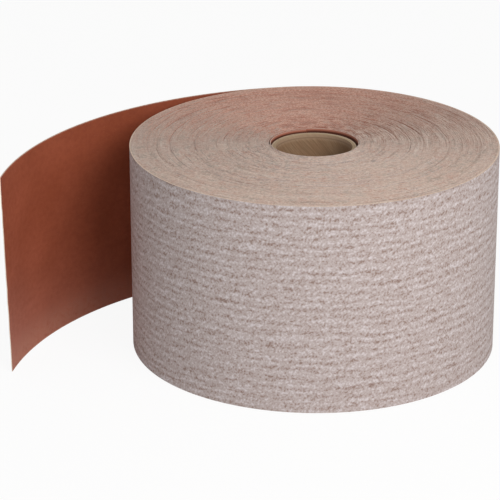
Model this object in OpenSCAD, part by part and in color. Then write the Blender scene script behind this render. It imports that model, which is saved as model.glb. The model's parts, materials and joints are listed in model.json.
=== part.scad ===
// Roll of abrasive paper on a paperboard core, standing on one end face, with its outer end lifted.
// The axis of the roll is Z, and the origin is on that axis at the lower end of the core's bore.
// Each spiral turn is drawn as two half rings on centres a little apart, so it grows as it goes round.

/* [Web] */
// Width of the abrasive web, 2-3/4 in
web_w = 69.85; // [50:0.05:120]
// Thickness of the paper backing
backing_t = 0.17; // [0.1:0.01:0.4]
// Thickness of the grain, its bond and the top coat on the outer side of the paper
coat_t = 0.10; // [0.05:0.01:0.3]

/* [Roll] */
// Outer diameter of the wound roll
roll_d = 122; // [90:0.5:170]
// How far the edges of the turns wander across the roll, added to the web's width
turn_wander = 0.5; // [0:0.05:2]

/* [Core] */
// Bore of the core, 1 in, which slides on a dispenser's spindle
core_bore_d = 25.4; // [18:0.1:40]
// Thickness of each of the three paperboard plies
ply_t = 0.45; // [0.3:0.05:0.8]
// How far the core ends below the upper end of the roll
core_recess = 1.6; // [0.3:0.1:3]

/* [First turn] */
// Thickness of the adhesive tape that holds the web's first end on the core
tape_t = 0.12; // [0.05:0.01:0.25]
// How far the tape stops short of each end of the core
tape_inset = 5; // [1:1:15]
// Angle of the core that the tape covers
tape_angle = 70; // [20:5:180]
// Radial slack between the tape and the start of the first turn
tape_slack = 0.02; // [0.01:0.01:0.1]
// Radial gap between the core and the wound turns, which the loose first turn crosses
core_gap = 0.8; // [0.7:0.05:1.5]

/* [Tail] */
// Polar angle at which the loose end leaves the roll
tail_angle = 100.8; // [60:0.1:140]
// Radius that the loose end keeps as its natural curl, at the middle of the web
tail_curl_r = 109; // [90:0.5:200]
// Length of the loose end along its upper edge, from where it leaves the roll
tail_len = 140.5; // [110:0.5:180]
// How much shorter the loose end is along its lower edge, where the cut runs askew
tail_skew = 6; // [0:0.5:15]
// Length of the loose end that stays with the roll before the first bend line
tail_root_len = 14; // [12:0.5:20]
// Gap at each bend line, between two stretches of the loose end
bend_gap = 0.3; // [0.2:0.05:0.6]

/* [Hidden] */
$fn = 180;

BOARD = [0.74, 0.68, 0.56];
TAPE = [0.86, 0.84, 0.74];
EDGE = [0.68, 0.60, 0.55];
BACKING = [0.58, 0.28, 0.18];
COAT = [0.69, 0.63, 0.61];

web_t = backing_t + coat_t;
roll_h = web_w + turn_wander;
web_z = turn_wander / 2;              // lower edge of a turn that lies in the middle of the wander
core_h = roll_h - core_recess;
ply_r = [for (i = [0:3]) core_bore_d / 2 + i * ply_t];

// Distances from the axis to the backing face of the web, where each stretch of the spiral starts
core_r = ply_r[3];
first_r = core_r + tape_t + tape_slack;
pack_r = core_r + core_gap;
outer_r = roll_d / 2 - 1.5 * web_t;   // so that the outer face lies at roll_d / 2 on average
leave_r = outer_r + web_t;

// Loose end: arcs about curl_c, measured as lengths along the middle of the web
tail_pieces = 4;
piece_len = (tail_len - tail_root_len) / tail_pieces;
curl_r = tail_curl_r - web_t / 2;     // the backing face, about the centre of the curl
curl_x = leave_r - curl_r;            // centre of the curl, along the ray at tail_angle
degree_len = tail_curl_r * PI / 180;

// A sector of a ring, turned about an axis that stands on the x axis at cx
module sector(cx, r, t, z, h, from, to) {
    translate([cx, 0, z])
        rotate([0, 0, from])
            rotate_extrude(angle = to - from)
                translate([r, 0]) square([t, h]);
}

// One spiral turn, t thick, whose inner face is r from the axis where it starts, on the ray at
// tail_angle, and r + growth where it ends there
module turn(r, growth, t, z, h) {
    shift = growth / 4;
    rotate([0, 0, tail_angle]) {
        sector(-shift, r + shift, t, z, h, 0, 180);
        sector(shift, r + 3 * shift, t, z, h, 180, 360);
    }
}

// One layer of the loose end between two lengths along it, t thick from face_t above the backing face
module tail_layer(face_t, t, from, to) {
    rotate([0, 0, tail_angle])
        sector(curl_x, curl_r + face_t, t, web_z, web_w, from / degree_len, to / degree_len);
}

// What the askew cut takes off the last stretch: nothing at the upper corner, tail_skew at the lower one
module skew_cut() {
    reach = roll_h;                   // runs past both edges and faces of the web
    rotate([0, 0, tail_angle])
        translate([curl_x, 0, 0])
            rotate([0, 0, tail_len / degree_len])
                translate([curl_r - reach / 2, 0, web_z + web_w])
                    rotate([-atan(tail_skew / web_w), 0, 0])
                        translate([0, 0, -2 * reach]) cube([reach, reach, 4 * reach]);
}

module ply(i) {
    difference() {
        cylinder(r = ply_r[i + 1], h = core_h);
        translate([0, 0, -1]) cylinder(r = ply_r[i], h = core_h + 2);
    }
}

// Paperboard core, three spirally wound plies glued to each other
module core_inner_ply() color(BOARD) ply(0);
module core_middle_ply() color(BOARD) ply(1);
module core_outer_ply() color(BOARD) ply(2);

// Adhesive tape between the core and the first turn
module start_tape() {
    color(TAPE)
        rotate([0, 0, tail_angle])
            sector(0, core_r, tape_t, tape_inset, core_h - 2 * tape_inset, 0, tape_angle);
}

// The loose first turn, which spirals from the core out to the wound turns
module first_turn_layer(face_t, t) {
    turn(first_r + face_t, pack_r - first_r, t, web_z, web_w);
}
module first_turn_backing() color(BACKING) first_turn_layer(0, backing_t);
module first_turn_coat() color(COAT) first_turn_layer(backing_t, coat_t);

// All the turns between the first one and the outermost one, as one solid
module wound_turns() {
    color(EDGE) turn(pack_r, web_t, outer_r - pack_r, 0, roll_h);
}

// The outermost turn, with the root of the loose end
module outer_turn_layer(face_t, t) {
    turn(outer_r + face_t, web_t, t, web_z, web_w);
    tail_layer(face_t, t, 0, tail_root_len - bend_gap / 2);
}
module outer_turn_backing() color(BACKING) outer_turn_layer(0, backing_t);
module outer_turn_coat() color(COAT) outer_turn_layer(backing_t, coat_t);

// One stretch of the loose end, between two bend lines
module tail_stretch(i, face_t, t) {
    from = tail_root_len + (i - 1) * piece_len + bend_gap / 2;
    to = tail_root_len + i * piece_len - (i < tail_pieces ? bend_gap / 2 : 0);
    difference() {
        tail_layer(face_t, t, from, to);
        if (i == tail_pieces) skew_cut();
    }
}
module tail_backing(i) color(BACKING) tail_stretch(i, 0, backing_t);
module tail_coat(i) color(COAT) tail_stretch(i, backing_t, coat_t);

core_inner_ply();
core_middle_ply();
core_outer_ply();
start_tape();
first_turn_backing();
first_turn_coat();
wound_turns();
outer_turn_backing();
outer_turn_coat();
tail_backing(1);  // tail_backing_1
tail_coat(1);  // tail_coat_1
tail_backing(2);  // tail_backing_2
tail_coat(2);  // tail_coat_2
tail_backing(3);  // tail_backing_3
tail_coat(3);  // tail_coat_3
tail_backing(4);  // tail_backing_4
tail_coat(4);  // tail_coat_4
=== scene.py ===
"""A roll of abrasive paper standing on end: a spiral-wound paperboard core, about 170 turns of one
coated web wound on it, and the web's springy outer end lifted off the roll, backing side to the front."""

import json
import math

import bpy
import numpy as np
from mathutils import Matrix, Vector


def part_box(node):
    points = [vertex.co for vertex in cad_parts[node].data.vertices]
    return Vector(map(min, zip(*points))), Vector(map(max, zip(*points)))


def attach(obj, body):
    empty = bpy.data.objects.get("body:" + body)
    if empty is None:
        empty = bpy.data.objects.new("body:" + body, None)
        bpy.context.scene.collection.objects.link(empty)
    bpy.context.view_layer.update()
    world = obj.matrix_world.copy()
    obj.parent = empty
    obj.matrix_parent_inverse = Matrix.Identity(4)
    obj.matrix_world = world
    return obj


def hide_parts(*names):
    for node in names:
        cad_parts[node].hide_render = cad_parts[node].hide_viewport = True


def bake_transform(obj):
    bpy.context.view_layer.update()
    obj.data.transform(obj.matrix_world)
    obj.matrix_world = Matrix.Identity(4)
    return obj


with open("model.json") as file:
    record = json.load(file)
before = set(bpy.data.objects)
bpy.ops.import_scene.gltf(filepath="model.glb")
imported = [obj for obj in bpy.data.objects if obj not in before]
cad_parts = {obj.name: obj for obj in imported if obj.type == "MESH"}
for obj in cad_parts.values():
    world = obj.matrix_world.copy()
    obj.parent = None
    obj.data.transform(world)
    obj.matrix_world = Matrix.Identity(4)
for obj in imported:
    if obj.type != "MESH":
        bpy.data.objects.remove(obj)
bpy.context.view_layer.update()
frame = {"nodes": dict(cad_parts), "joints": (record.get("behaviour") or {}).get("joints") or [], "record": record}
scene = bpy.context.scene


# ---------------------------------------------------------------- camera
# A long lens a little above the roll, which looks down on it by about 21 degrees.

roll_low, roll_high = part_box("wound_turns")
roll_h = roll_high.z
camera_distance = 0.83497
camera_pitch = math.radians(21.196)
camera_pan = math.radians(1.453)
camera_tilt = math.radians(-0.218)
camera_roll = math.radians(0.4775)

camera_data = bpy.data.cameras.new("camera")
camera_data.lens = 179.31
camera_data.sensor_width = 36
camera = bpy.data.objects.new("camera", camera_data)
scene.collection.objects.link(camera)
back_off = Vector((0, -math.cos(camera_pitch), math.sin(camera_pitch))) * camera_distance
camera.matrix_world = (
    Matrix.Translation(Vector((0, 0, roll_h / 2)) + back_off)
    @ Matrix.Rotation(math.pi / 2 - camera_pitch, 4, "X")
    @ Matrix.Rotation(camera_pan, 4, "Y")
    @ Matrix.Rotation(camera_tilt, 4, "X")
    @ Matrix.Rotation(camera_roll, 4, "Z")
)
scene.camera = camera


# ---------------------------------------------------------------- core
# A spiral-wound paperboard tube of three plies. Each ply is one strip of grey-brown board wound at a
# slant, so its two edges meet in a helical butt seam, and each seam lies a third of a turn from the last.

bore = next(mount for mount in frame["record"]["mounts"] if mount["name"] == "core_bore")["dims"]
core_h = bore["length_mm"] / 1000
ply_nodes = ["core_inner_ply", "core_middle_ply", "core_outer_ply"]
ply_r = [bore["r_mm"] / 1000] + [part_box(node)[1].x for node in ply_nodes]
core_r = ply_r[-1]
ply_lead = 0.095  # how far a seam climbs in one turn
seam_gap = math.radians(0.9)
seam_at = [math.radians(a) for a in (9, 129, 249)]
sawn_edge = 0.0001  # how far the sawn ends' edges are rounded
ply_steps, ply_rows = 150, 24  # how finely a ply is divided round and up
painted_light_to = 0.0026  # how far below its rim the bore is painted paler, a painted band of light at the top of the bore
shadow_line_at = core_h - 0.00125  # a faint painted shadow line round the bore, where the shadow of the front rim ends
shadow_line_reach, shadow_line_flat = 0.00045, 0.00005  # how far it fades, and how far it doesn't
# each band of a ply's map: where it starts, and how high it is
ply_map = {"bore": (0, 0.74), "outside": (0.76, 0.18), "lower_end": (0.95, 0.02), "upper_end": (0.975, 0.02)}


def colour(red, green, blue):
    """A colour given as it looks on a screen, 0 to 255, as the linear colour that a shader takes."""
    screen = [c / 255 for c in (red, green, blue)]
    return (*(c / 12.92 if c < 0.04045 else ((c + 0.055) / 1.055) ** 2.4 for c in screen), 1)


class Link:
    """One output of a node. Arithmetic on it adds Math nodes."""

    def __init__(self, finish, socket):
        self.finish, self.socket = finish, socket

    def math(self, operation, *values):
        return self.finish.add("Math", {"operation": operation}, dict(enumerate(values)))

    def __add__(self, other):
        return self.math("ADD", self, other)

    def __sub__(self, other):
        return self.math("SUBTRACT", self, other)

    def __rsub__(self, other):
        return self.math("SUBTRACT", other, self)

    def __mul__(self, other):
        return self.math("MULTIPLY", self, other)

    def __truediv__(self, other):
        return self.math("DIVIDE", self, other)

    def __gt__(self, other):
        return self.math("GREATER_THAN", self, other)

    def sine(self):
        return self.math("SINE", self)

    def root(self):
        return self.math("SQRT", self)

    def larger(self, other):
        return self.math("MAXIMUM", self, other)

    __radd__, __rmul__ = __add__, __mul__


class Finish:
    """A material, or the world, made by adding nodes to the one shader that it starts with."""

    def __init__(self, owner, shader="Principled BSDF", **constants):
        if isinstance(owner, str):
            owner = bpy.data.materials.new(owner)
        owner.use_nodes = True
        self.owner, self.tree = owner, owner.node_tree
        self.nodes = self.tree.nodes
        self.shader = self.nodes[shader]
        self.shape(**constants)

    def feed(self, node, values):
        """Sets a node's inputs, by number or by name with _ for a space, to numbers or links."""
        for key, value in values.items():
            socket = node.inputs[key.replace("_", " ") if isinstance(key, str) else key]
            if isinstance(value, Link):
                self.tree.links.new(value.socket, socket)
            else:
                socket.default_value = value

    def add(self, kind, settings=None, values=None, out=0):
        """A new node: its type, its settings, its inputs' values or links, and the output wanted."""
        node = self.nodes.new("ShaderNode" + kind)
        for key, value in (settings or {}).items():
            setattr(node, key, value)
        self.feed(node, values or {})
        return Link(self, node.outputs[out])

    def shape(self, **values):
        """Sets the shader's own inputs."""
        self.feed(self.shader, values)

    def split(self, vector):
        """The three numbers of a vector."""
        first = self.add("SeparateXYZ", values={0: vector})
        return [Link(self, output) for output in first.socket.node.outputs]

    def join(self, *numbers):
        return self.add("CombineXYZ", values=dict(enumerate(numbers)))

    def own_place(self):
        return self.add("TexCoord", out="Object")

    def noise(self, place, scale, detail=2.0, roughness=0.5):
        """Smooth noise, 0 to 1, on a place stretched by scale along its three axes."""
        spread = self.add("VectorMath", {"operation": "MULTIPLY"}, {0: place, 1: scale})
        return self.add("TexNoise", values=dict(Vector=spread, Scale=1, Detail=detail, Roughness=roughness))

    def between(self, value, low, high):
        """0 below low, 1 above high and smooth between them; high may be the smaller."""
        limits = {"Value": value, "From Min": low, "From Max": high}
        return self.add("MapRange", {"interpolation_type": "SMOOTHSTEP"}, limits)

    def mix(self, share, a, b):
        return self.add("Mix", {"data_type": "RGBA"}, {0: share, 6: a, 7: b}, out=2)

    def bump(self, height, distance):
        return self.add("Bump", values=dict(Height=height, Distance=distance))


def core_board(name, radius, end_colour):
    """Board whose fibres and calender marks run along its strip. Its sawn end is paler. Just inside the rim the
    bore is painted paler, a painted band of light, with a faint dark painted shadow line round it where the front
    rim's shadow ends."""
    board = Finish(name, Specular_IOR_Level=0.2)
    height = board.split(board.own_place())[2]
    turn = board.split(board.add("UVMap", {"uv_map": "OFBake"}))[0]
    around = turn * (2 * math.pi * radius)
    climb = math.atan2(ply_lead, 2 * math.pi * radius)
    along = height / math.sin(climb) + around * math.cos(climb)
    across = around * math.sin(climb)
    place = board.join(along, across)
    streaks = board.noise(place, (160, 2300, 1), 4, 0.6)
    bands = board.noise(place, (25, 700, 1), 3, 0.5)
    specks = board.noise(board.own_place(), (2600, 2600, 2600), 2)
    clouds = board.noise(board.own_place(), (230, 230, 230), 2)
    tone = board.between(streaks * 0.7 + bands * 0.3, 0.34, 0.66)
    shade = board.mix(tone, colour(138, 111, 86), colour(161, 133, 105))
    shade = board.mix(board.between(clouds, 0.35, 0.7) * 0.4, shade, colour(148, 114, 86))
    shade = board.mix(board.between(specks, 0.62, 0.74) * 0.4, shade, colour(112, 88, 66))
    # Painted light: the top of the bore is painted paler, where more light reaches into the tube.
    painted_light_band = board.between(height, core_h - painted_light_to, core_h - 0.0010)
    shade = board.mix(painted_light_band * 0.4, shade, colour(190, 166, 142))
    # Painted shade: a faint dark line round the bore where the front rim's shadow ends.
    below = board.between(height, shadow_line_at - shadow_line_reach, shadow_line_at - shadow_line_flat)
    above = board.between(height, shadow_line_at + shadow_line_reach, shadow_line_at + shadow_line_flat)
    shade = board.mix(below * above * (0.1 + 0.6 * streaks), shade, colour(112, 86, 66))
    sawn = board.between(height, core_h - 1.6 * sawn_edge, core_h - 0.6 * sawn_edge)
    shade = board.mix(sawn * (0.7 + 0.3 * streaks), shade, end_colour)
    board.shape(
        Base_Color=shade,
        Roughness=0.82 + 0.1 * streaks,
        Normal=board.bump(streaks * 0.7 + specks * 0.3, 0.0001),
    )
    return board.owner


def select_none():
    bpy.ops.object.select_all(action="DESELECT")


def newest(name):
    """The object that was just added, under its own name."""
    piece = bpy.context.object
    piece.name = piece.data.name = name
    return piece


def points_of(piece):
    """The places of a mesh's points, one row each."""
    found = np.empty(len(piece.data.vertices) * 3)
    piece.data.vertices.foreach_get("co", found)
    return found.reshape(-1, 3)


def move_points(piece, places):
    piece.data.vertices.foreach_set("co", np.ascontiguousarray(places, float).ravel())
    piece.data.update()


def apply_modifier(piece, kind, **settings):
    modifier = piece.modifiers.new(kind, kind)
    for key, value in settings.items():
        setattr(modifier, key, value)
    bpy.ops.object.modifier_apply(modifier=modifier.name)


def on_circle(radius, turn, height):
    """Points at a radius from the roll's axis, an angle round it and a height."""
    return np.stack([radius * np.cos(turn), radius * np.sin(turn), height], 1)


def unroll_ply(ply, radius, thickness):
    """The ply's map: the bore side above all, then the outer side, and the sawn ends as thin bands."""
    places = points_of(ply)
    turn = np.arctan2(places[:, 1], places[:, 0]) % (2 * math.pi)
    depth = (np.hypot(places[:, 0], places[:, 1]) - radius) / thickness
    uv = []
    for face in ply.data.polygons:
        at = list(face.vertices)
        u, height = turn[at] / (2 * math.pi), places[at, 2] / core_h
        if np.ptp(height) < 0.01:
            band, share = ("lower_end" if height[0] < 0.5 else "upper_end"), depth[at]
        elif depth[at].max() < 0.5:
            band, share = "bore", height
        else:
            band, share = "outside", height
        start, size = ply_map[band]
        uv.append(np.stack([u, start + size * share], 1))
    ply.data.uv_layers.new(name="OFBake").uv.foreach_set("vector", np.concatenate(uv).ravel())


def wind_ply(name, radius, thickness, start, end_colour):
    """One ply: the wall's section spun almost all the way round, then twisted so that its slit climbs."""
    select_none()
    bpy.ops.mesh.primitive_grid_add(x_subdivisions=1, y_subdivisions=ply_rows, size=1)
    ply = newest(name)
    flat = points_of(ply) + 0.5
    move_points(ply, on_circle(radius + thickness * flat[:, 0], 0 * flat[:, 0], core_h * flat[:, 1]))
    bpy.ops.object.mode_set(mode="EDIT")
    bpy.ops.mesh.select_all(action="SELECT")
    almost_round = 2 * math.pi - seam_gap
    bpy.ops.mesh.spin(steps=ply_steps, angle=almost_round, center=(0, 0, 0), axis=(0, 0, 1))
    bpy.ops.mesh.select_all(action="SELECT")
    bpy.ops.mesh.normals_make_consistent(inside=False)
    bpy.ops.object.mode_set(mode="OBJECT")
    unroll_ply(ply, radius, thickness)
    places = points_of(ply)
    turn = np.arctan2(places[:, 1], places[:, 0]) % (2 * math.pi)
    height = places[:, 2]
    twisted = start + turn + 2 * math.pi * height / ply_lead
    move_points(ply, on_circle(np.hypot(places[:, 0], places[:, 1]), twisted, height))
    apply_modifier(ply, "BEVEL", width=sawn_edge, segments=2, limit_method="ANGLE", angle_limit=1.0)
    bpy.ops.object.shade_smooth_by_angle(angle=math.radians(35))
    ply.data.materials.append(core_board(name, radius, end_colour))
    return ply


end_colours = [colour(172, 152, 124), colour(176, 156, 130), colour(200, 182, 156)]
for k, node in enumerate(ply_nodes):
    ply = wind_ply(node + "_strip", ply_r[k], ply_r[k + 1] - ply_r[k], seam_at[k], end_colours[k])
    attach(ply, "roll")
    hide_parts(node)


# ---------------------------------------------------------------- start tape
# A short piece of double-sided paper tape that holds the web's first end on the core.

tape = Finish("start_tape", Specular_IOR_Level=0.3)
tape_fibres = tape.noise(tape.own_place(), (900, 900, 2600), 4, 0.6)
tape_stains = tape.noise(tape.own_place(), (90, 90, 60), 2)
tape.shape(
    Base_Color=tape.mix(tape.between(tape_stains, 0.3, 0.7), colour(214, 204, 176), colour(196, 180, 142)),
    Roughness=0.55 + 0.3 * tape_fibres,
    Normal=tape.bump(tape_fibres, 0.00004),
)
for material_slot in frame["nodes"]["start_tape"].material_slots:
    material_slot.material = tape.owner


# ---------------------------------------------------------------- first turn
# The loose first turn of the web, which spirals out from the core to the wound turns. The web is
# rust-coloured paper, saturated with latex, with pale coated grain on its outer side.

paper_t = 0.00017
coat_t = 0.00010
web_t = paper_t + coat_t
web_w = 0.06985
wander = (roll_h - web_w) / 2  # how far a turn's edge may lie above or below the middle
tape_t = 0.00014  # with the slack beside it
core_gap = 0.0008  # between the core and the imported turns, where the loose first turn lies
leave_angle = math.radians(100.8)  # where the web leaves the roll
pack_r = core_r + core_gap
roll_r = -roll_low.x
bench_glow_to = 0.014  # how high the painted reflection of the white bench reaches up the backing from its lower edge
rub_w = 0.0004  # how wide the backing is rubbed pale along both edges
inner_side, outer_side, rim_faces = 0, 1, 2  # the faces of a strip, in the order of its materials


def along_the_web(finish):
    """A place that follows the web: its length so far, and the height on the roll."""
    along = finish.add("Attribute", {"attribute_name": "along"}, out="Fac")
    return finish.join(along, finish.split(finish.own_place())[2])


def paper_finish():
    """The backing: rust-coloured kraft paper with a faint calendered sheen. It is rubbed pale at its edges. Low
    down on the loose end it is painted paler, a painted reflection of the white bench; the innermost turn is paler
    near its top, and painted dark just above the core, a painted shadow in the gap beside the core."""
    paper = Finish("web_backing", Specular_IOR_Level=0.35)
    place = along_the_web(paper)
    along, height, _ = paper.split(place)
    clouds = paper.noise(place, (38, 50, 1), 3, 0.55)
    mottle = paper.noise(place, (420, 520, 1), 3, 0.6)
    fibres = paper.noise(place, (900, 3200, 1), 3, 0.65)
    specks = paper.noise(place, (2400, 2400, 1), 1)
    shade = paper.mix(paper.between(clouds, 0.3, 0.7), colour(145, 72, 46), colour(157, 81, 55))
    shade = paper.mix(paper.between(mottle, 0.35, 0.7) * 0.35, shade, colour(126, 58, 40))
    shade = paper.mix(paper.between(fibres, 0.55, 0.75) * 0.35, shade, colour(186, 108, 80))
    shade = paper.mix(paper.between(specks, 0.7, 0.78) * 0.5, shade, colour(196, 130, 104))
    # Painted reflection: the loose end is painted paler low down, where it would mirror the white bench.
    painted_bench_glow = paper.between(height, bench_glow_to, 0.002) * paper.between(along, 0.04, 0.1)
    shade = paper.mix(painted_bench_glow * 0.26 * paper.between(mottle, 0.2, 0.6), shade, colour(208, 152, 128))
    low = paper.between(height, wander + rub_w, wander)
    high = paper.between(height, wander + web_w - rub_w, wander + web_w)
    rubbed = paper.between(paper.noise(paper.own_place(), (1300, 1300, 700), 2), 0.38, 0.64)
    shade = paper.mix((low + high) * (0.4 + 0.5 * rubbed), shade, colour(218, 180, 164))
    innermost = paper.between(along, 0.001, -0.001)
    # The innermost turn is painted paler near its top.
    paler_top_band = innermost * paper.between(height, roll_h - 0.0014, roll_h - 0.0005)
    shade = paper.mix(paler_top_band * 0.5, shade, colour(206, 150, 132))
    # Painted shade: the innermost turn is painted dark just above the core, where the gap beside the core lies in
    # shadow.
    painted_gap_shade = innermost * paper.between(height, core_h + 0.0007, core_h + 0.0003)
    shade = paper.mix(painted_gap_shade * 0.8, shade, colour(58, 34, 26))
    paper.shape(
        Base_Color=shade,
        Roughness=0.5 + 0.18 * mottle,
        Normal=paper.bump(fibres * 0.5 + mottle * 0.5, 0.00005),
    )
    return paper.owner


def grain_finish():
    """The coat: fine grain under a pale dry lubricant. The lubricant lies in level ripples, and the
    grain shows brown along their ragged troughs and white clots lie between them."""
    coat = Finish("web_coat", Specular_IOR_Level=0.2)
    place = along_the_web(coat)
    along, height, _ = coat.split(place)
    askew = coat.join(along * 0.8 + height * 0.6, height * 0.8 - along * 0.6)
    grit = coat.noise(askew, (1400, 1400, 1), 2, 0.6)
    clumps = coat.noise(askew, (620, 740, 1), 2, 0.7)
    streaks = coat.noise(place, (170, 520, 1), 2, 0.6)

    def ripples(spacing, sway, reach):
        turns = height / spacing + coat.noise(place, sway, 2, 0.6) * reach
        return (turns * (2 * math.pi)).sine()

    bared = ripples(0.0030, (24, 80, 1), 2.6) * 0.25 + ripples(0.0018, (60, 150, 1), 3.0) * 0.12
    bared += (grit - 0.5) * 4.0 + (clumps - 0.5) * 3.2 + (streaks - 0.5) * 1.6
    troughs, crests = coat.between(bared, 0, 1.2), coat.between(bared, 0, -1.1)
    shade = coat.mix(troughs * 0.85, colour(180, 167, 164), colour(134, 109, 98))
    shade = coat.mix(crests * 0.75, shade, colour(213, 206, 209))
    coat.shape(
        Base_Color=shade,
        Roughness=0.84 + 0.1 * troughs,
        Normal=coat.bump(grit * 0.6 - bared * 0.12, 0.00014),
    )
    return coat.owner


smudge_x, smudge_y = 0.0191, -0.0181  # a dirty mark, in the same place on both end faces
smudge_r = 0.0012


def edge_finish():
    """The slit edge of the web: pale bruised paper fibre, mottled with rust and grey, with the coat's grey line on
    its outer side. Dark arcs along some turns are painted shade for gaps between turns, and the outermost rim is
    painted paler as a painted highlight."""
    edge = Finish("web_edge", Specular_IOR_Level=0.15)
    along = edge.add("Attribute", {"attribute_name": "along"}, out="Fac")
    across = edge.add("Attribute", {"attribute_name": "across"}, out="Fac")
    x, y, _ = edge.split(edge.own_place())
    radius = (x * x + y * y).root()
    fibres = edge.noise(edge.join(along, across), (700, 3, 1), 3, 0.7)
    turns = edge.noise(edge.join(along, across), (14, 0.3, 1), 3, 0.6)
    painted_gap_arcs = edge.noise(edge.join(along, across), (32, 0.2, 1), 2)
    rings = edge.noise(edge.join(x / radius, y / radius, radius), (1.7, 1.7, 850), 3, 0.6)
    specks = edge.noise(edge.own_place(), (1600, 1600, 1600), 2, 0.6)
    flecks = edge.noise(edge.own_place(), (900, 900, 900), 1, 0.6)
    mottle = edge.noise(edge.own_place(), (320, 320, 320), 3, 0.7)
    clouds = edge.noise(edge.own_place(), (70, 70, 70), 2)
    shade = edge.mix(edge.between(fibres, 0.3, 0.7), colour(186, 156, 141), colour(221, 202, 190))
    shade = edge.mix(edge.between(turns, 0.42, 0.64) * 0.35, shade, colour(196, 160, 140))
    shade = edge.mix(edge.between(rings, 0.54, 0.68) * 0.5, shade, colour(138, 112, 100))
    shade = edge.mix(edge.between(rings, 0.46, 0.32) * 0.4, shade, colour(228, 216, 206))
    shade = edge.mix(edge.between(mottle, 0.5, 0.66) * 0.5, shade, colour(190, 144, 126))
    shade = edge.mix(edge.between(mottle, 0.46, 0.34) * 0.5, shade, colour(152, 144, 132))
    shade = edge.mix(edge.between(specks, 0.52, 0.32) * 0.5, shade, colour(140, 113, 102))
    shade = edge.mix(edge.between(flecks, 0.5, 0.64) * 0.35, shade, colour(232, 218, 206))
    shade = edge.mix((across > paper_t / web_t) * 0.5, shade, colour(204, 196, 190))
    # Painted shade: dark arcs along some turns, standing for shadowed gaps between loose turns.
    shade = edge.mix(edge.between(painted_gap_arcs, 0.68, 0.74) * 0.6, shade, colour(112, 92, 84))
    shade = edge.mix(edge.between(clouds, 0.35, 0.7) * 0.15, shade, colour(224, 206, 190))
    # Painted highlight: the roll's outermost rim is painted paler, a bright line along the edge of the end face.
    shade = edge.mix(edge.between(radius, roll_r - 0.0003, roll_r) * 0.5, shade, colour(232, 210, 188))
    off_mark = edge.join(x - smudge_x, y - smudge_y)
    off_mark = edge.add("VectorMath", {"operation": "LENGTH"}, {0: off_mark}, out=1)
    shade = edge.mix(edge.between(off_mark, smudge_r, smudge_r / 3) * 0.45, shade, colour(104, 94, 92))
    edge.shape(Base_Color=shade, Roughness=0.9, Normal=edge.bump(specks * 0.6 + fibres * 0.4, 0.0001))
    return edge.owner


web_paper, web_grain, web_cut = paper_finish(), grain_finish(), edge_finish()

# a strip's map, from the bottom up: the side that shows, the hidden side, and both slit edges and the ends
shown_h, hidden_h, rim_h = 0.86, 0.08, 0.018
hidden_from, upper_rim_from, lower_rim_from = 0.87, 0.955, 0.98


def lay_out(strip, f, g, across, kind, lanes, seen):
    """The strip's own map: the side that shows fills most of it, in a few lanes laid one above another."""
    lane = np.floor(f.mean(1, keepdims=True) * lanes)
    shown = (kind == seen)[:, None]
    rim = (kind == rim_faces)[:, None]
    end = rim & (np.ptp(f, axis=1)[:, None] < 1e-9)
    upper = g.mean(1, keepdims=True) > 0.5
    u = np.where(shown, f * lanes - lane, np.where(end, g, f))
    v = np.where(shown, shown_h * (lane + g) / lanes, hidden_from + hidden_h * g)
    v = np.where(rim, np.where(upper, upper_rim_from, lower_rim_from) + rim_h * across, v)
    strip.data.uv_layers.new(name="OFBake").uv.foreach_set("vector", np.stack([u, v], -1).ravel())


def web_strip(name, steps, rows, bend, finishes, lay_out=lay_out, **layout):
    """A length of the web: a flat grid with a thickness, bent by bend(f, g, across), which gives the
    place of each point and its length along the web. f runs along, g up and across through it, each
    from 0 to 1, so the flat grid's own thickness doesn't matter."""
    select_none()
    bpy.ops.mesh.primitive_grid_add(x_subdivisions=steps, y_subdivisions=rows, size=1)
    strip = newest(name)
    flat = points_of(strip)[:, :2] + 0.5
    apply_modifier(strip, "SOLIDIFY", thickness=0.1, offset=1)
    f, g = np.tile(flat, (2, 1)).T
    across = np.repeat([0.0, 1.0], len(flat))
    places, along = bend(f, g, across)
    move_points(strip, places)
    for key, values in (("along", along), ("across", across)):
        strip.data.attributes.new(key, "FLOAT", "POINT").data.foreach_set("value", values)
    for finish in finishes:
        strip.data.materials.append(finish)
    corner = np.empty(len(strip.data.loops), np.int32)
    strip.data.loops.foreach_get("vertex_index", corner)
    corner = corner.reshape(-1, 4)
    depth = across[corner].mean(1)
    kind = np.where(depth < 0.1, inner_side, np.where(depth > 0.9, outer_side, rim_faces))
    strip.data.polygons.foreach_set("material_index", kind.astype(np.int32))
    lay_out(strip, f[corner], g[corner], across[corner], kind, **layout)
    bpy.ops.object.shade_smooth_by_angle(angle=math.radians(40))
    return strip


inner_tilt = 0.0002  # how much lower the innermost turns lie on the far side, and higher on the near side


def spiral(start_r, end_r, face, thickness, tilt=0):
    """One turn of one layer of the web, counted from the line where the web leaves the roll."""

    def bend(f, g, across):
        turn = leave_angle + 2 * math.pi * f
        r = start_r + (end_r - start_r) * f + face + thickness * across
        along = math.pi * (start_r + end_r) * (f - 1)
        return on_circle(r, turn, wander + web_w * g - tilt * np.sin(turn)), along

    return bend


layers = {
    "backing": dict(face=0, thickness=paper_t, finishes=(web_paper, web_paper, web_cut), seen=inner_side),
    "coat": dict(face=paper_t, thickness=coat_t, finishes=(web_grain, web_grain, web_cut), seen=outer_side),
}
for kind, layer in layers.items():
    strip = web_strip(
        f"first_turn_{kind}_layer",
        steps=160,
        rows=12,
        bend=spiral(core_r + tape_t, pack_r, layer["face"], layer["thickness"], inner_tilt),
        finishes=layer["finishes"],
        lanes=1,
        seen=layer["seen"],
    )
    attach(strip, "roll")
    "web_" + kind
    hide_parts("first_turn_" + kind)


# ---------------------------------------------------------------- wound turns
# One strip of the web, about 40 m long, in some 170 turns. Its slit edges wander a little as it was
# wound, and the knife leaves them sloping, so from any side the far half of the end face shows more of
# the rust-coloured paper and the near half more of the pale coat.

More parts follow.
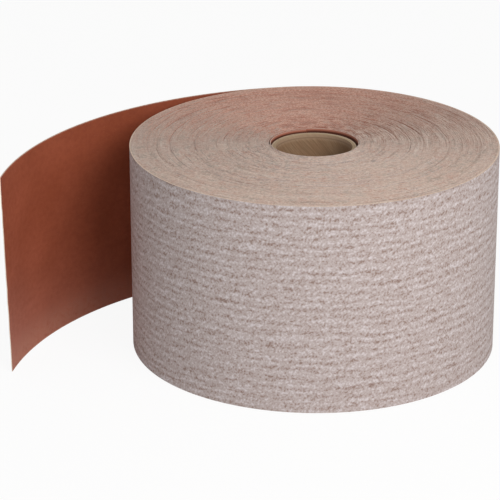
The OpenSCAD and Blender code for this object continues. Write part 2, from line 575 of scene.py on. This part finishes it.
outer_r = roll_r - web_t * (math.pi - leave_angle) / (2 * math.pi)
turn_count = round((outer_r - pack_r) / web_t)
turn_pitch = (outer_r - pack_r) / turn_count
steps_a_turn = 128
turn_gap = 0.000008  # between one turn and the next
chipped = 0.000055  # how much lower the knife leaves the coat's side of an edge, where grain chips off
calm_turns = 3  # the last turns, over which the wander dies away towards the outermost one
drift_turns, drift = 5, 0.00003  # how far the edges drift, and over how many turns
ripples_in_a_turn = {3: 0.000025, 14: 0.00003, 45: 0.00002, steps_a_turn: 0.00004}  # and their heights
patch_turns, patches_round, patch_lift = 7, 64, 0.00011  # neighbouring turns that lie out of level
slip_count = 12
slips = [0.00018, 0.00012, -0.0001]  # how far down part of one turn slipped, or up
slip_long = 4  # a few slips are that many times longer
tilt_fades = 0.006  # how far out from the core the inner turns' tilt fades
groove_count = 70
groove_depths = (0.00006, 0.00026)
groove_turns = (0.6, 1.6)  # half the width of a groove, in turns
groove_arcs = (0.04, 0.18)  # half the length of a groove, as a share of a turn


def wavering(rng, place, knots):
    """A smooth random line through evenly spaced values, read at place, 0 to 1."""
    values = rng.normal(size=knots + 2)
    at = place * knots
    low = np.floor(at).astype(int)
    share = at - low
    share = share * share * (3 - 2 * share)
    return values[low] * (1 - share) + values[low + 1] * share


def patchy(rng, f, rings, patches):
    """A smooth random field over the end face, in rings of so many patches, read along the strip."""
    values = rng.normal(size=(rings + 2, patches))
    ring, patch = f * rings, (f * turn_count % 1) * patches
    low, left = np.floor(ring).astype(int), np.floor(patch).astype(int)
    out, on = ring - low, patch - left
    left, right = left % patches, (left + 1) % patches
    inner = values[low, left] * (1 - on) + values[low, right] * on
    outer = values[low + 1, left] * (1 - on) + values[low + 1, right] * on
    return inner * (1 - out) + outer * out


def edge_wander(f):
    """How far each point of the strip lies above or below the middle."""
    rng = np.random.default_rng(11)
    inner_more = 1.3 - 0.6 * f
    lift = drift * wavering(rng, f, turn_count // drift_turns)
    for count, ripple in ripples_in_a_turn.items():
        lift += ripple * inner_more * wavering(rng, f, turn_count * count)
    lift += patch_lift * patchy(rng, f, turn_count // patch_turns, patches_round)
    for middle in rng.uniform(0.02, 0.97, slip_count):
        arc = rng.uniform(0.02, 0.13) / turn_count * (slip_long if rng.random() < 0.15 else 1)
        share = np.clip(1 - np.abs(f - middle) / arc, 0, 1)
        lift -= rng.choice(slips) * np.sqrt(share)
    turn = leave_angle + 2 * math.pi * turn_count * f
    lift -= inner_tilt * np.sin(turn) * np.exp(-f * (outer_r - pack_r) / tilt_fades)
    calm = np.clip((1 - f) * turn_count / calm_turns, 0, 1)
    reach = wander - chipped / 2
    return np.clip(lift * calm, -reach, reach)


def grooves(f):
    """How far the turns are pressed in at both slit edges by shallow grooves, most on the far side."""
    rng = np.random.default_rng(23)
    depth = np.zeros_like(f)
    far_side = (math.pi / 2 - leave_angle) / (2 * math.pi)
    for _ in range(groove_count):
        middle, half_width = rng.uniform(3, turn_count - 8), rng.uniform(*groove_turns)
        centre, half_arc = far_side + rng.normal(0, 0.2), rng.uniform(*groove_arcs)
        off_middle = (f * turn_count - middle) / half_width
        off_centre = ((f * turn_count - centre + 0.5) % 1 - 0.5) / half_arc
        inside = np.clip(1 - off_middle**2 - off_centre**2, 0, 1)
        depth = np.maximum(depth, rng.uniform(*groove_depths) * inside)
    return depth


def wind(f, g, across):
    """The wound strip's bend: every turn from the loose first one to the outermost one."""
    turn = leave_angle + 2 * math.pi * turn_count * f
    r = pack_r + (outer_r - pack_r) * f + (turn_pitch - turn_gap) * across
    along = math.pi * turn_count * (2 * pack_r + (outer_r - pack_r) * f) * f
    cut_back = (chipped * (0.5 - across) - grooves(f)) * (2 * g - 1)
    return on_circle(r, turn, wander + web_w * g + cut_back + edge_wander(f)), along


# its map, from the bottom up: the lower slit edge, the upper one, and both sides of the strip
face_h, upper_face_from, sides_from, sides_h = 0.48, 0.49, 0.98, 0.02


def lay_out_wound(strip, f, g, across, kind):
    """The wound strip's map: its slit edges as broad bands, angle by radius, and its sides as a thin one."""
    lane = np.floor(f.mean(1, keepdims=True) * turn_count)
    rim = (kind == rim_faces)[:, None]
    end = rim & (np.ptp(f, axis=1)[:, None] < 1e-12)
    upper = g.mean(1, keepdims=True) > 0.5
    u = np.where(end, g, f * turn_count - lane)
    radius = (lane + across) / turn_count
    v = np.where(rim, np.where(upper, upper_face_from, 0) + face_h * radius, sides_from + sides_h * g)
    strip.data.uv_layers.new(name="OFBake").uv.foreach_set("vector", np.stack([u, v], -1).ravel())


wound = web_strip(
    "wound_strip",
    steps=turn_count * steps_a_turn,
    rows=1,
    bend=wind,
    finishes=(web_paper, web_grain, web_cut),
    lay_out=lay_out_wound,
)
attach(wound, "roll")
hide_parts("wound_turns")


# ---------------------------------------------------------------- outermost turn
# The last full turn of the web, with its paper and its coat as separate layers.

leave_r = outer_r + web_t
for kind, layer in layers.items():
    strip = web_strip(
        f"outer_turn_{kind}_layer",
        steps=480,
        rows=60,
        bend=spiral(outer_r, leave_r, layer["face"], layer["thickness"]),
        finishes=layer["finishes"],
        lanes=2,
        seen=layer["seen"],
    )
    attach(strip, "roll")
    "web_" + kind
    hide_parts("outer_turn_" + kind)


# ---------------------------------------------------------------- loose end
# The springy outer end of the web, which keeps a curl and ends in a cut. It is made in four lengths of paper and
# four of coat, each around one of the hinge lines.

hinges = [Vector(joint["pos_m"]) for joint in frame["joints"]]


def circle_centre(a, b, c):
    """The centre of the circle through three points of one level."""
    ab, ac = b - a, c - a
    twice = 2 * (ab.x * ac.y - ab.y * ac.x)
    x = (ac.y * ab.length_squared - ab.y * ac.length_squared) / twice
    y = (ab.x * ac.length_squared - ac.x * ab.length_squared) / twice
    return Vector((a.x + x, a.y + y, a.z))


curl_centre = circle_centre(hinges[0], hinges[1], hinges[-1])
leave_point = Vector((math.cos(leave_angle), math.sin(leave_angle))) * leave_r
curl_r = (leave_point - curl_centre.xy).length
middle_r = curl_r + web_t / 2
bend_at = [math.atan2(*(h - curl_centre).yx) % (2 * math.pi) - leave_angle for h in hinges]
stretch = bend_at[1] - bend_at[0]
tail_angle = bend_at[-1] + stretch
skew = 0.006 / middle_r  # the lower corner is cut that much shorter
breaks = [0] + [at + stretch / 2 for at in bend_at[:-1]] + [tail_angle]
cut_rough = 0.0001  # how far the cut strays from a straight line
cut_bends = 30
face_length = 0.0008  # how long each face of the strip is, along the web
held_root = 0.008  # the length beside the roll that stays with it


def on_curl(radius, angle, height):
    """Points at an angle round the centre of the curl from where the web leaves the roll."""
    return on_circle(radius, leave_angle + angle, height) + np.array([*curl_centre.xy, 0])


def curl(k, face, thickness):
    """Length k of one layer of the loose end. The last one ends in a cut that runs askew."""

    def bend(f, g, across):
        short = 0
        if k == len(hinges) - 1:
            rough = wavering(np.random.default_rng(5), g, cut_bends) * cut_rough / middle_r
            short = np.clip(skew * (1 - g) + rough, 0, 1)
        angle = breaks[k] + (breaks[k + 1] - short - breaks[k]) * f
        return on_curl(curl_r + face + thickness * across, angle, wander + web_w * g), angle * middle_r

    return bend


def bend_window(k):
    """Where length k of the loose end starts and stops bending about its hinge."""
    first = max(bend_at[k] - stretch / 2, held_root / middle_r)
    ends = on_curl(middle_r, np.array([first, bend_at[k] + stretch / 2]), np.full(2, hinges[k].z))
    return dict(zip(("start", "end"), ends.tolist()))


for k in range(len(hinges)):
    for kind, layer in layers.items():
        strip = web_strip(
            f"loose_end_{kind}_{k + 1}",
            steps=round((breaks[k + 1] - breaks[k]) * middle_r / face_length),
            rows=70,
            bend=curl(k, layer["face"], layer["thickness"]),
            finishes=layer["finishes"],
            lanes=1,
            seen=layer["seen"],
        )
        bend_window(k)
        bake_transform(strip)
        "web_" + kind
        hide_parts(f"tail_{kind}_{k + 1}")


# ---------------------------------------------------------------- floor and light
# A plain white bench, a soft box at the upper right and a weaker one near the camera, under an even
# pale sky.

select_none()
bpy.ops.mesh.primitive_plane_add(size=6, location=(0, 0, 0))
floor = newest("floor")


def white_to_camera(finish, output, share):
    """Mixes a plain white into a shader where the camera, or a mirror or glass, looks straight at it."""
    seen = finish.add("LightPath", out="Is Camera Ray")
    for kind in ("Is Glossy Ray", "Is Transmission Ray"):
        seen = seen.larger(finish.add("LightPath", out=kind))
    plain = Link(finish, finish.shader.outputs[0])
    mixed = finish.add("MixShader", values={0: seen * share, 1: plain, 2: finish.add("Emission")})
    finish.feed(finish.nodes[output], {"Surface": mixed})


bench = Finish("bench", Base_Color=(0.95, 0.95, 0.95, 1), Roughness=0.9)
white_to_camera(bench, "Material Output", share=0.92)
floor.data.materials.append(bench.owner)

scene.world = bpy.data.worlds.new("studio")
sky = Finish(scene.world, "Background", Color=(1, 1, 1, 1), Strength=0.4)
white_to_camera(sky, "World Output", share=1)


def soft_box(name, place, size, power, tint):
    """A square lamp that faces the roll."""
    data = bpy.data.lights.new(name, "AREA")
    data.size, data.energy, data.color = size, power, tint
    lamp = bpy.data.objects.new(name, data)
    scene.collection.objects.link(lamp)
    lamp.location = place
    aim = Vector((0, 0, roll_h / 2)) - lamp.location
    lamp.rotation_euler = aim.to_track_quat("-Z", "Y").to_euler()


soft_box("key", place=(0.33, -0.52, 0.5), size=0.4, power=3.35, tint=(1.0, 0.97, 0.94))
soft_box("fill", place=(-0.1, -1.05, 0.3), size=0.5, power=1.2, tint=(0.94, 0.97, 1.0))

scene.view_settings.view_transform = "Standard"
